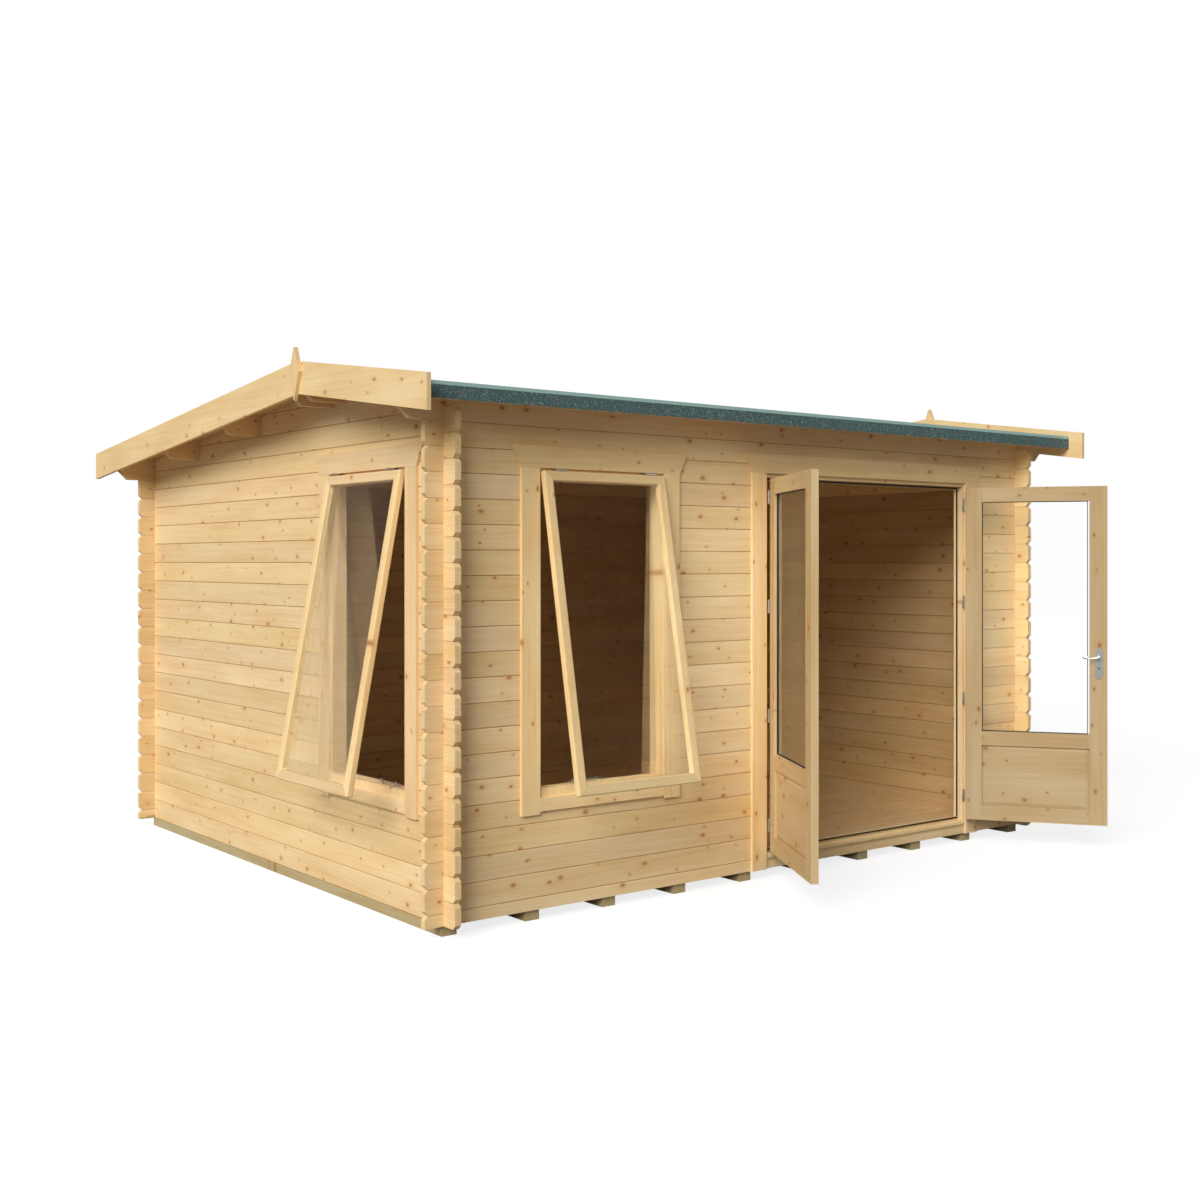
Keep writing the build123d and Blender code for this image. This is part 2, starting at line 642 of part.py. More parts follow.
with BuildPart() as window_trims:
    half = WINDOW_W / 2
    for unit in UNITS:
        with BuildSketch(unit):
            header_board(half + TRIM_W, WINDOW_TOP)
            for side in (-1, 1):
                edges = sorted((side * half, side * (half + TRIM_W)))
                box_between(*edges, WINDOW_SILL - SIDE_BOARD_DROP, WINDOW_TOP - GAP)
            box_between(-half + GAP, half - GAP, WINDOW_SILL - BOTTOM_BOARD, WINDOW_SILL)
        extrude(amount=TRIM_T)
finish(window_trims, "window_trims")


def ring(half, low, high, rail):
    """Four members round an opening: a head and a foot between two uprights."""
    for side in (-1, 1):
        box_between(*sorted((side * half, side * (half - rail))), low, high)
    box_between(rail - half + GAP, half - rail - GAP, high - rail, high)
    box_between(rail - half + GAP, half - rail - GAP, low, low + rail)


with BuildPart() as window_frames:
    for unit in UNITS:
        with BuildSketch(unit):
            ring(WINDOW_W / 2 + FRAME_LAP - GAP, WINDOW_SILL, WINDOW_TOP + FRAME_LAP / 2, FRAME_RAIL)
        extrude(amount=-FRAME_DEPTH)
finish(window_frames, "window_frames")


def sash_plane(unit):
    """The sash's plane: through the pivot, its foot swung out, with the outer face on it."""
    pivot = unit.from_local_coords((0, PIVOT, SASH_PROUD))
    turn = math.radians(SASH_OPEN)
    outward = unit.z_dir * math.cos(turn) + Vector(0, 0, math.sin(turn))
    return Plane(origin=pivot, x_dir=unit.x_dir, z_dir=outward)


SASH_HALF = WINDOW_W / 2 - SASH_GAP
SASH_TOP = -4.0
SASH_LOW = SASH_TOP - SASH_H

with BuildPart() as window_sashes:
    for unit in UNITS:
        plane = sash_plane(unit)
        with BuildSketch(plane):
            ring(SASH_HALF, SASH_LOW, SASH_TOP, SASH_RAIL)
        extrude(amount=-SASH_T)
        outer = window_sashes.faces(Select.LAST).filter_by(
            lambda face: (face.center() - plane.origin).dot(plane.z_dir) > -0.01)
        chamfer([edge for face in outer for edge in face.edges() if edge.length > 2 * SASH_RAIL],
                SASH_EDGE)
finish(window_sashes, "window_sashes")

with BuildPart() as window_glass:
    for unit in UNITS:
        with BuildSketch(sash_plane(unit).offset(-SASH_T / 2)):
            inner = SASH_HALF - SASH_RAIL - GAP
            box_between(-inner, inner, SASH_LOW + SASH_RAIL + GAP, SASH_TOP - SASH_RAIL - GAP)
        extrude(amount=GLASS_T)
finish(window_glass, "window_glass")

with BuildPart() as window_hinges:
    turn = math.radians(SASH_OPEN)
    inward, up = (-math.cos(turn), math.sin(turn)), (-math.sin(turn), -math.cos(turn))
    for unit in UNITS:
        for side in (-1, 1):
            end = unit.from_local_coords((side * (SASH_HALF - HINGE_IN) - HINGE_L / 2, PIVOT, SASH_PROUD))
            with BuildSketch(Plane(origin=end, x_dir=unit.z_dir, z_dir=unit.x_dir)) as hinge:
                Circle(BARREL_R)
                corners = [(along * HINGE_LEAF, SASH_TOP + rise * HINGE_PLATE)
                           for along, rise in ((0, 0), (1, 0), (1, 1), (0, 1))]
                Polygon(*[(inward[0] * along + up[0] * rise, inward[1] * along + up[1] * rise)
                          for along, rise in corners], align=None)
                box_between(-SASH_PROUD, 0, GAP - PIVOT_DROP, GAP - PIVOT_DROP + HINGE_PLATE)
            extrude(hinge.sketch, amount=HINGE_L)
finish(window_hinges, "window_hinges")

# Door trims, frame, threshold and seal
with BuildPart() as door_trims:
    half = DOOR_W / 2
    with BuildSketch(DOOR_UNIT):
        header_board(half + TRIM_W, DOOR_HEAD)
        for side in (-1, 1):
            edges = sorted((side * half, side * (half + TRIM_W)))
            box_between(*edges, 0.0, DOOR_HEAD - GAP)
    extrude(amount=TRIM_T)
finish(door_trims, "door_trims")

LEAF_X = DOOR_W / 2 - PIN_FROM_TRIM - LEAF_FROM_PIN      # closed leaf's hinge edge, from the middle
FRAME_X = LEAF_X + LEAF_GAP                              # frame's face beside the leaf
FRAME_TOP = LEAF_TOP + LEAF_GAP
STOP_TOP = SILL_TOP + DOOR_STOP
DOOR_CUT_TOP = HALF + (FRONT_COURSES - 1) * COURSE

with BuildPart() as door_frame:
    with BuildSketch(DOOR_UNIT):
        edge = DOOR_W / 2 + FRAME_LAP - GAP
        for side in (-1, 1):
            edges = sorted((side * FRAME_X, side * edge))
            box_between(*edges, HALF + GAP, FRAME_TOP - GAP)
        box_between(-edge, edge, FRAME_TOP, DOOR_CUT_TOP - GAP)
    extrude(amount=-DOOR_DEPTH)
    with BuildSketch(DOOR_UNIT.offset(-DOOR_STOP_AT)):
        for side in (-1, 1):
            edges = sorted((side * (FRAME_X - DOOR_STOP), side * (FRAME_X - GAP)))
            box_between(*edges, STOP_TOP + GAP, FRAME_TOP - DOOR_STOP - GAP)
        box_between(GAP - FRAME_X, FRAME_X - GAP, FRAME_TOP - DOOR_STOP, FRAME_TOP - GAP)
    extrude(amount=-(DOOR_DEPTH - DOOR_STOP_AT))
finish(door_frame, "door_frame")

with BuildPart() as door_threshold:
    with BuildSketch(Plane.YZ.offset(LEFT + DOOR_X - FRAME_X + GAP)):
        foot = BASE + HALF + GAP
        Polygon((FRONT - NOSE, foot), (FRONT - NOSE, foot + NOSE_H), (FRONT + 6, BASE + SILL_TOP),
                (FRONT + DOOR_STOP_AT, BASE + SILL_TOP), (FRONT + DOOR_STOP_AT, BASE + STOP_TOP),
                (FRONT + DOOR_DEPTH, BASE + STOP_TOP), (FRONT + DOOR_DEPTH, foot), align=None)
    extrude(amount=2 * (FRAME_X - GAP))
finish(door_threshold, "door_threshold")

with BuildPart() as door_seal:
    with BuildSketch(DOOR_UNIT.offset(-DOOR_STOP_AT)):
        for side in (-1, 1):
            edges = sorted((side * (FRAME_X - DOOR_STOP + 2), side * (FRAME_X - DOOR_STOP + 10)))
            box_between(*edges, STOP_TOP + GAP, FRAME_TOP - DOOR_STOP - GAP)
        reach = FRAME_X - DOOR_STOP + 10
        box_between(-reach, reach, FRAME_TOP - DOOR_STOP + 2, FRAME_TOP - DOOR_STOP + 10)
        box_between(-reach, reach, STOP_TOP - 10, STOP_TOP - 2)
    extrude(amount=SEAL_T)
finish(door_seal, "door_seal")

# Door leaves. Each is drawn closed on its own plane, whose origin is on the hinge pin's axis,
# and the plane is then swung open: x from the pin along the leaf, y up, z outwards.
PIN_X = DOOR_W / 2 - PIN_FROM_TRIM
LEFT_PIN = (LEFT + DOOR_X - PIN_X, FRONT - PIN_OUT, BASE)
RIGHT_PIN = (LEFT + DOOR_X + PIN_X, FRONT - PIN_OUT, BASE)
LEAF_W = LEAF_X - MEETING_GAP / 2
FACE_BACK = PIN_OUT - LEAF_OUT            # pin's axis to the leaf's outer face


def swing(pin, hand, opening):
    """A leaf's plane at its outer face, turned open about the upright pin.

    hand is 1 on the left leaf and -1 on the right one.
    """
    turn = math.radians(-hand * opening)
    along = (math.cos(turn), math.sin(turn), 0)
    outward = (math.sin(turn), -math.cos(turn), 0)
    origin = tuple(p - FACE_BACK * o for p, o in zip(pin, outward))
    return Plane(origin=origin, x_dir=along, z_dir=outward)


LEAVES = {
    "left": (swing(LEFT_PIN, 1, LEFT_OPEN), 1),
    "right": (swing(RIGHT_PIN, -1, RIGHT_OPEN), -1),
}
PANEL_LOW = LEAF_BOTTOM + BOTTOM_RAIL
PANEL_HIGH = PANEL_LOW + PANEL_H
GLASS_LOW = PANEL_HIGH + MID_RAIL
GLASS_HIGH = LEAF_TOP - TOP_RAIL


def leaf_span(hand, start, end):
    """Edges of a stretch of the leaf, measured from its hinge edge."""
    return sorted((hand * (LEAF_FROM_PIN + start), hand * (LEAF_FROM_PIN + end)))


def leaf_frame(plane, hand):
    """Two stiles and three rails."""
    with BuildSketch(plane) as members:
        box_between(*leaf_span(hand, 0, STILE), LEAF_BOTTOM, LEAF_TOP)
        box_between(*leaf_span(hand, LEAF_W - STILE, LEAF_W), LEAF_BOTTOM, LEAF_TOP)
        for low, high in ((LEAF_BOTTOM, PANEL_LOW), (PANEL_HIGH, GLASS_LOW), (GLASS_HIGH, LEAF_TOP)):
            box_between(*leaf_span(hand, STILE + GAP, LEAF_W - STILE - GAP), low, high)
    extrude(members.sketch, amount=-LEAF_T)


def leaf_panel(plane, hand):
    """The solid lower panel, its field raised by a bevel on both faces."""
    start, end = leaf_span(hand, STILE + 2 * GAP, LEAF_W - STILE - 2 * GAP)
    low, high = PANEL_LOW + GAP, PANEL_HIGH - GAP
    near, far = -(LEAF_T - PANEL_T) / 2, -(LEAF_T + PANEL_T) / 2
    with BuildSketch(plane.offset(near)) as panel:
        box_between(start, end, low, high)
    extrude(panel.sketch, amount=-PANEL_T)
    for level, rise in ((near, PANEL_FIELD), (far, -PANEL_FIELD)):
        with BuildSketch(plane.offset(level)) as border:
            box_between(start, end, low, high)
        with BuildSketch(plane.offset(level + rise)) as field:
            box_between(start + PANEL_BEVEL, end - PANEL_BEVEL, low + PANEL_BEVEL, high - PANEL_BEVEL)
        loft([border.sketch, field.sketch])


with BuildPart() as left_door_leaf:
    leaf_frame(*LEAVES["left"])
    leaf_panel(*LEAVES["left"])
finish(left_door_leaf, "left_door_leaf")

with BuildPart() as right_door_leaf:
    leaf_frame(*LEAVES["right"])
    leaf_panel(*LEAVES["right"])
finish(right_door_leaf, "right_door_leaf")


def leaf_glass(plane, hand):
    """The clear pane over the middle rail."""
    with BuildSketch(plane.offset(-(LEAF_T - GLASS_T) / 2)) as pane:
        box_between(*leaf_span(hand, STILE + 2 * GAP, LEAF_W - STILE - 2 * GAP),
                    GLASS_LOW + GAP, GLASS_HIGH - GAP)
    extrude(pane.sketch, amount=-GLASS_T)


with BuildPart() as left_door_glass:
    leaf_glass(*LEAVES["left"])
finish(left_door_glass, "left_door_glass")

with BuildPart() as right_door_glass:
    leaf_glass(*LEAVES["right"])
finish(right_door_glass, "right_door_glass")

# Hinges: the upper knuckle of each is on the leaf, the lower one on the frame


def leaf_knuckles(plane, hand):
    """Knuckles on a leaf, each with a lug that is screwed to the leaf's outer face."""
    for height in HINGE_HEIGHTS:
        with BuildSketch(plane.offset(FACE_BACK)) as lug:
            box_between(*sorted((0.0, hand * (LEAF_FROM_PIN + 12))), height + GAP, height + KNUCKLE)
        extrude(lug.sketch, amount=-FACE_BACK + GAP)
        with BuildSketch(Plane(origin=plane.from_local_coords((0, height + GAP, FACE_BACK)))) as knuckle:
            Circle(HINGE_R)
        extrude(knuckle.sketch, amount=KNUCKLE - GAP)


with BuildPart() as left_door_hinges:
    leaf_knuckles(*LEAVES["left"])
finish(left_door_hinges, "left_door_hinges")

with BuildPart() as right_door_hinges:
    leaf_knuckles(*LEAVES["right"])
finish(right_door_hinges, "right_door_hinges")

with BuildPart() as frame_hinges:
    for pin, away in ((LEFT_PIN, -1), (RIGHT_PIN, 1)):
        for height in HINGE_HEIGHTS:
            low = height - KNUCKLE
            with BuildSketch(Plane(origin=(pin[0], pin[1], BASE + low))) as knuckle:
                Circle(HINGE_R)
                with Locations((away * HINGE_R / 2, PIN_OUT / 2)):
                    Rectangle(HINGE_R, PIN_OUT)
            extrude(knuckle.sketch, amount=KNUCKLE - GAP)
finish(frame_hinges, "frame_hinges")

# Lever handle on the right leaf, one plate and one lever each side
RIGHT_LEAF, RIGHT_HAND = LEAVES["right"]
HANDLE_X = RIGHT_HAND * (LEAF_FROM_PIN + LEAF_W - HANDLE_IN)

with BuildPart() as handle_plates:
    for level, amount in ((0.0, PLATE_T), (-LEAF_T, -PLATE_T)):
        with BuildSketch(RIGHT_LEAF.offset(level)):
            with Locations((HANDLE_X, PLATE_AT)):
                RectangleRounded(PLATE_W, PLATE_H, PLATE_W / 2 - 1)
        extrude(amount=amount)
finish(handle_plates, "handle_plates")

with BuildPart() as handle_levers:
    for side in (1, -1):
        face = (0.0 if side > 0 else -LEAF_T) + side * (PLATE_T + GAP)
        reach = LEVER_OUT - PLATE_T - GAP
        with BuildSketch(RIGHT_LEAF.offset(face)):
            with Locations((HANDLE_X, LEVER_AT)):
                Circle(SPINDLE_R)
        extrude(amount=side * reach)
        with BuildSketch(RIGHT_LEAF.offset(face + side * (reach - LEVER_R))):
            start = HANDLE_X - RIGHT_HAND * SPINDLE_R
            box_between(*sorted((HANDLE_X + RIGHT_HAND * SPINDLE_R, HANDLE_X - RIGHT_HAND * LEVER_L)),
                        LEVER_AT - LEVER_R, LEVER_AT + LEVER_R)
        extrude(amount=side * LEVER_R)
finish(handle_levers, "handle_levers")
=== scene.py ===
import bpy
import math
from mathutils import Matrix


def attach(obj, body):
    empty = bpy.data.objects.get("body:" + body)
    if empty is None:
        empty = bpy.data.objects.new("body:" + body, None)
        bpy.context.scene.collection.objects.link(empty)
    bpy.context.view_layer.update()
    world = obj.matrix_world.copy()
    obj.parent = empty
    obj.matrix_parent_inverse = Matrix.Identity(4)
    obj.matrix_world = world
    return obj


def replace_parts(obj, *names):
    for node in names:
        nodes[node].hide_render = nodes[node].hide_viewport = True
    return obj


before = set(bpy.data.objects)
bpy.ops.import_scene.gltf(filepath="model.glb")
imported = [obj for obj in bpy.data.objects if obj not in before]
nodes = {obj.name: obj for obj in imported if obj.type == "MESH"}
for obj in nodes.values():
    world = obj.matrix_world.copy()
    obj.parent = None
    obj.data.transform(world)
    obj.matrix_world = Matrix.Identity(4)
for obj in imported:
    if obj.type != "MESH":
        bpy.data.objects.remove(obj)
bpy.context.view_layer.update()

# Sizes of the cabin, in metres
COURSE = 0.11                 # height that one log covers
LOG = 0.03                    # thickness of a log
BASE = 0.047                  # top of the bearers
LEFT, RIGHT = -2.195833, 1.764167
FRONT, BACK = -1.67, 1.67
EAVE_FACE = FRONT - 0.185     # just behind the felted eave's face
FELT_LIP = 2.3155             # height over which the felt on the fascia is the paler turned strip
FLOOR_BOARD = 0.096           # width of one floor or roof board

# Windows
WINDOW_X, WINDOW_Y = LEFT + 0.851, FRONT + 0.66
WINDOW_TOP = BASE + 1.962     # underside of the header board
BESIDE_WINDOW = 0.387         # window's centre to the logs beside it
TRIM_INNER = 0.36             # window's centre to the upright trim boards
SIDE_WINDOW_REACH = LEFT + 0.2    # everything of the side window lies left of this
WINDOW_FOOT = ((0.3, 0.545),)     # heights where the foot boards lie level
SASH_SIZE = (0.702, 1.440, 0.032)
SASH_RAIL = 0.047
SASH_PROUD = 0.032            # sash's pivot to the wall's outer face
SASH_PIVOT = BASE + 1.956
SASH_DROP = 0.004             # pivot to the sash's top edge
SASH_OPEN = math.radians(10.5)
SASH_ROUND = 0.0065
STAY_FOOT = BASE + 0.5346     # top of the window frame's bottom rail

# Double door
LEFT_PIN, RIGHT_PIN = (-0.294333, -1.684), (1.248667, -1.684)
LEFT_OPEN, RIGHT_OPEN = math.radians(120.5), math.radians(125.0)
DOOR_TOP = BASE + 1.991       # underside of the header board
DOOR_FRAME_TOP = BASE + 1.95
DOOR_SPAN = (LEFT + 1.8615, LEFT + 3.4845)
DOOR_CLEAR = 0.002            # tongues stop this far from the door frame
PANE_LOW, PANE_HIGH = 0.638, 1.929
PANE_START, PANE_END = 0.0994, 0.6661
LEAF_RAILS = ((0.0, PANE_LOW), (PANE_HIGH, 2.2))
LEAF_STILES = (PANE_START, 0.6669)
SPINDLE = (1.645628, -2.289275, 1.064)
LEAF_HALF = 0.018             # middle of the leaf to its face
RIGHT_ALONG = (0.573576, -0.819152)   # from the right pin towards the leaf's free edge
RIGHT_OUT = (0.819152, 0.573576)      # outwards from the right leaf's outer face
RIGHT_IN = (-0.819152, -0.573576)
LEFT_ALONG, LEFT_OUT = (-0.507538, -0.861629), (-0.861629, 0.507538)

# Light
AMBIENT = 0.27                # strength of the world away from the camera's view
FLOOR_GLOW = 0.80             # what lifts the floor to white where it is looked at
WHITE = (1.0, 1.0, 1.0, 1.0)


class Finish:
    """A material and short ways to add nodes to it."""

    def __init__(self, name):
        self.material = bpy.data.materials.new(name)
        self.material.use_nodes = True
        self.tree = self.material.node_tree
        self.tree.nodes.clear()
        self.shader = self.add("ShaderNodeBsdfPrincipled")
        output = self.add("ShaderNodeOutputMaterial")
        self.link(self.shader.outputs[0], output.inputs["Surface"])

    def add(self, kind, **settings):
        node = self.tree.nodes.new(kind)
        for key, value in settings.items():
            setattr(node, key, value)
        return node

    def link(self, out, into):
        self.tree.links.new(out, into)

    def feed(self, socket, value):
        if hasattr(value, "links"):
            self.link(value, socket)
        elif value is not None:
            socket.default_value = value

    def math(self, operation, a, b=None, c=None):
        node = self.add("ShaderNodeMath", operation=operation)
        for socket, value in zip(node.inputs, (a, b, c)):
            self.feed(socket, value)
        return node.outputs[0]

    def vector(self, operation, a, b=None):
        node = self.add("ShaderNodeVectorMath", operation=operation)
        for socket, value in zip(node.inputs, (a, b)):
            self.feed(socket, value)
        return node.outputs[0]

    def split(self, vector):
        node = self.add("ShaderNodeSeparateXYZ")
        self.link(vector, node.inputs[0])
        return node.outputs[0], node.outputs[1], node.outputs[2]

    def join(self, x, y, z):
        node = self.add("ShaderNodeCombineXYZ")
        for socket, value in zip(node.inputs, (x, y, z)):
            self.feed(socket, value)
        return node.outputs[0]

    def stretch(self, x, y, z, by_x, by_y, by_z):
        """A vector with each axis multiplied by its own number."""
        return self.join(*(self.math("MULTIPLY", axis, by) for axis, by in ((x, by_x), (y, by_y), (z, by_z))))

    def noise(self, vector, scale, detail=3.0, rough=0.5):
        node = self.add("ShaderNodeTexNoise")
        node.inputs["Scale"].default_value = scale
        node.inputs["Detail"].default_value = detail
        node.inputs["Roughness"].default_value = rough
        self.link(vector, node.inputs["Vector"])
        return node.outputs[0]

    def chance(self, value):
        node = self.add("ShaderNodeTexWhiteNoise", noise_dimensions="1D")
        self.feed(node.inputs["W"], value)
        return node.outputs[0]

    def ramp(self, value, *stops):
        node = self.add("ShaderNodeValToRGB")
        ramp = node.color_ramp
        while len(ramp.elements) < len(stops):
            ramp.elements.new(0.5)
        for element, (at, colour) in zip(ramp.elements, stops):
            element.position = at
            element.color = tuple(colour) + (1.0,)
        self.link(value, node.inputs[0])
        return node.outputs[0]

    def mix(self, share, a, b, kind="MIX"):
        node = self.add("ShaderNodeMix", data_type="RGBA", blend_type=kind)
        for socket, value in ((node.inputs[0], share), (node.inputs[6], a), (node.inputs[7], b)):
            if isinstance(value, tuple) and len(value) == 3:
                value = value + (1.0,)
            self.feed(socket, value)
        return node.outputs[2]

    def spread(self, value, low, high, to_low=0.0, to_high=1.0):
        node = self.add("ShaderNodeMapRange")
        for socket, number in zip(node.inputs, (value, low, high, to_low, to_high)):
            self.feed(socket, number)
        return node.outputs[0]

    def between(self, value, low, high):
        return self.math("MULTIPLY", self.math("GREATER_THAN", value, low),
                         self.math("LESS_THAN", value, high))

    def plain(self, **settings):
        """Set plain values on the shader's sockets, each named with spaces as underscores."""
        for key, value in settings.items():
            self.shader.inputs[key.replace("_", " ")].default_value = value
        return self.material

    def bump(self, height, distance, strength=1.0):
        node = self.add("ShaderNodeBump")
        node.inputs["Strength"].default_value = strength
        node.inputs["Distance"].default_value = distance
        self.link(height, node.inputs["Height"])
        self.link(node.outputs[0], self.shader.inputs["Normal"])

    def place(self):
        return self.add("ShaderNodeTexCoord").outputs["Object"]


def linear(r, g, b):
    """A colour given as seen, 0 to 255, as Blender's linear values."""
    return tuple((v / 255 / 12.92) if v / 255 <= 0.04045 else ((v / 255 + 0.055) / 1.055) ** 2.4
                 for v in (r, g, b))


def boards(along, across, depth, start, pitch):
    """Boards or logs side by side: grain along one axis, a joint at each pitch across another."""
    def lay(f, axes):
        return axes[along], axes[across], axes[depth], start, pitch
    return lay


def single(along, across, depth):
    """One piece of timber with its grain along one axis."""
    def lay(f, axes):
        return axes[along], axes[across], axes[depth], None, None
    return lay


def joinery(origin, turn, level, uprights):
    """Upright grain, but level grain in the given heights and clear of the uprights.

    origin and turn give the place and the turn about Z of the piece's own frame; level lists the
    heights where a board lies level; uprights is the span along the piece that lies between them.
    """
    def lay(f, axes):
        x = f.math("SUBTRACT", axes[0], origin[0])
        y = f.math("SUBTRACT", axes[1], origin[1])
        c, s = math.cos(turn), math.sin(turn)
        u = f.math("ADD", f.math("MULTIPLY", x, c), f.math("MULTIPLY", y, s))
        w = f.math("SUBTRACT", f.math("MULTIPLY", y, c), f.math("MULTIPLY", x, s))
        z = axes[2]
        lies = None
        for low, high in level:
            inside = f.between(z, low, high)
            lies = inside if lies is None else f.math("MAXIMUM", lies, inside)
        lies = f.math("MULTIPLY", lies, f.between(u, *uprights))
        along = f.math("ADD", z, f.math("MULTIPLY", lies, f.math("SUBTRACT", u, z)))
        across = f.math("ADD", u, f.math("MULTIPLY", lies, f.math("SUBTRACT", z, u)))
        return along, across, w, None, None
    return lay


def pine(name, lay, seed, tint=(1.0, 1.0, 1.0), knots=0.62, streak=1.0):
    """Planed pine: quiet grain, small orange-brown knots and thin dark joints."""
    f = Finish(name)
    u, v, w, start, pitch = lay(f, f.split(f.place()))
    if pitch:
        number = f.math("DIVIDE", f.math("SUBTRACT", v, start), pitch)
        luck = f.chance(f.math("ADD", f.math("FLOOR", number), seed))
    else:
        luck = f.chance(f.math("ADD", f.math("FLOOR", f.math("DIVIDE", v, 5.0)), seed))
    u = f.math("ADD", u, f.math("MULTIPLY", luck, 41.0))
    # knots: one seed a cell, some cells left without
    place = f.stretch(u, v, w, KNOTS_ALONG, KNOTS_ACROSS, 2.0)
    cells = f.add("ShaderNodeTexVoronoi", voronoi_dimensions="3D")
    cells.inputs["Scale"].default_value = 1.0
    f.link(place, cells.inputs["Vector"])
    du, dv, _ = f.split(f.vector("SUBTRACT", place, cells.outputs["Position"]))
    wobble = f.math("MULTIPLY", f.math("SUBTRACT", f.noise(f.join(u, v, w), 60.0, 2.0), 0.5), 0.006)
    near = f.math("SQRT", f.math("ADD", f.math("POWER", f.math("DIVIDE", du, KNOTS_ALONG * 1.5), 2.0),
                                 f.math("POWER", f.math("DIVIDE", dv, KNOTS_ACROSS), 2.0)))
    near = f.math("ADD", near, wobble)
    r, g, b = f.split(cells.outputs["Color"])
    has_knot = f.math("GREATER_THAN", r, 1.0 - knots)
    radius = f.spread(f.math("POWER", g, 2.0), 0.0, 1.0, 0.0038, 0.0115)
    far = f.math("DIVIDE", near, radius)
    knot = f.math("MULTIPLY", f.spread(far, 1.35, 0.5), has_knot)
    heart = f.math("MULTIPLY", f.spread(far, 0.6, 0.2), has_knot)
    halo = f.math("MULTIPLY", f.spread(far, 3.6, 0.9), has_knot)
    # quiet grain, bent a little round the knots
    bend = f.math("MULTIPLY", f.math("MULTIPLY", halo, 0.004), f.math("SIGN", dv))
    warp = f.noise(f.stretch(u, v, w, 0.6, 3.0, 3.0), 1.0, 2.0)
    across = f.math("ADD", f.math("ADD", v, bend), f.math("MULTIPLY", warp, 0.10))
    fine = f.noise(f.stretch(u, across, w, 4.0, 330.0, 330.0), 1.0, 3.0, 0.6)
    broad = f.noise(f.stretch(u, across, w, 1.1, 62.0, 62.0), 1.0, 2.0)
    cloud = f.noise(f.stretch(u, v, w, 1.6, 7.0, 7.0), 1.0, 2.0)
    tone = f.math("ADD", f.math("MULTIPLY", fine, 0.34 * streak), f.math("MULTIPLY", broad, 0.24))
    tone = f.math("ADD", tone, f.math("MULTIPLY", cloud, 0.76 - 0.34 * streak))
    colour = f.ramp(tone, (0.36, PALE), (0.53, MID), (0.74, DEEP))
    colour = f.mix(f.math("MULTIPLY", halo, 0.25), colour, linear(226, 170, 104))
    colour = f.mix(f.math("MULTIPLY", knot, 0.72), colour, linear(190, 126, 72))
    colour = f.mix(f.math("MULTIPLY", heart, 0.45), colour, linear(146, 88, 46))
    shade = f.spread(luck, 0.0, 1.0, 0.93, 1.05)
    warm = f.spread(f.chance(f.math("ADD", luck, 7.0)), 0.0, 1.0, 0.93, 1.06)
    # tint is the wood's own tone; for the door leaves and the room's far walls it also holds painted shade
    red, green = f.math("MULTIPLY", shade, tint[0]), f.math("MULTIPLY", shade, tint[1])
    blue = f.math("MULTIPLY", f.math("MULTIPLY", shade, warm), tint[2])
    colour = f.mix(1.0, colour, f.join(red, green, blue), "MULTIPLY")
    if pitch:
        part = f.math("ABSOLUTE", f.math("SUBTRACT", f.math("FRACT", f.math("ADD", number, 0.5)), 0.5))
        line = f.spread(f.math("MULTIPLY", part, pitch), 0.0026, 0.0010)
        colour = f.mix(f.math("MULTIPLY", line, 0.45), colour, linear(150, 92, 44))
    f.link(colour, f.shader.inputs["Base Color"])
    f.plain(Roughness=0.6, Specular_IOR_Level=0.25)
    f.bump(fine, 0.0003, 0.35)
    return f.material


KNOTS_ALONG, KNOTS_ACROSS = 4.6, 11.0     # knot cells to the metre
PALE, MID, DEEP = linear(246, 219, 170), linear(237, 203, 149), linear(219, 177, 118)
FRONT_WALL = boards(0, 2, 1, BASE + COURSE / 2, COURSE)
SIDE_WALL = boards(1, 2, 0, BASE, COURSE)
BEAM = single(0, 2, 1)
logs_x = pine("pine logs along the front", FRONT_WALL, 11.0)
logs_y = pine("pine logs along the side", SIDE_WALL, 57.0)
beam_x = pine("pine beam", BEAM, 91.0, (0.97, 0.95, 0.92))
barge_y = pine("pine bargeboard", single(1, 2, 0), 23.0, (1.03, 1.03, 1.03))
finial_z = pine("pine finial", single(2, 1, 0), 29.0, (1.04, 1.04, 1.05), 0.0)
roof_y = pine("pine roof boards", boards(1, 0, 2, LEFT, FLOOR_BOARD), 71.0, (0.93, 0.88, 0.80))
floor_x = pine("pine floor boards", boards(0, 1, 2, FRONT, FLOOR_BOARD), 37.0, (0.98, 0.96, 0.92))
BETWEEN_TRIMS = (-TRIM_INNER, TRIM_INNER)
front_window = pine("pine trim of the front window",
                    joinery((WINDOW_X, FRONT), 0.0, WINDOW_FOOT, BETWEEN_TRIMS),
                    3.0, (1.02, 1.02, 1.02), 0.5)
header_x = pine("pine header board", single(0, 2, 1), 41.0, (0.99, 0.98, 0.96), 0.5)
header_y = pine("pine header board of the side window", single(1, 2, 0), 44.0, (1.0, 1.0, 1.0), 0.5)
side_window = pine("pine trim of the side window",
                   joinery((LEFT, WINDOW_Y), math.pi / 2, WINDOW_FOOT, BETWEEN_TRIMS),
                   5.0, (1.02, 1.02, 1.02), 0.5)
trim_z = pine("pine trim upright", single(2, 0, 1), 7.0, (1.01, 1.01, 1.01), 0.5)
threshold_x = pine("pine threshold", single(0, 2, 1), 13.0, (1.0, 1.0, 1.0), 0.4)
# The door leaves' pine is written darker by painted shade: 0.70 and 0.58 of the wood's own colour
leaf_left_painted_shade = pine("pine of the left leaf", joinery(LEFT_PIN, -LEFT_OPEN, LEAF_RAILS, LEAF_STILES),
                 17.0, (0.70, 0.69, 0.67), 0.6)
leaf_right_painted_shade = pine("pine of the right leaf", joinery(RIGHT_PIN, RIGHT_OPEN + math.pi, LEAF_RAILS, LEAF_STILES),
                  19.0, (0.58, 0.57, 0.55), 0.6)
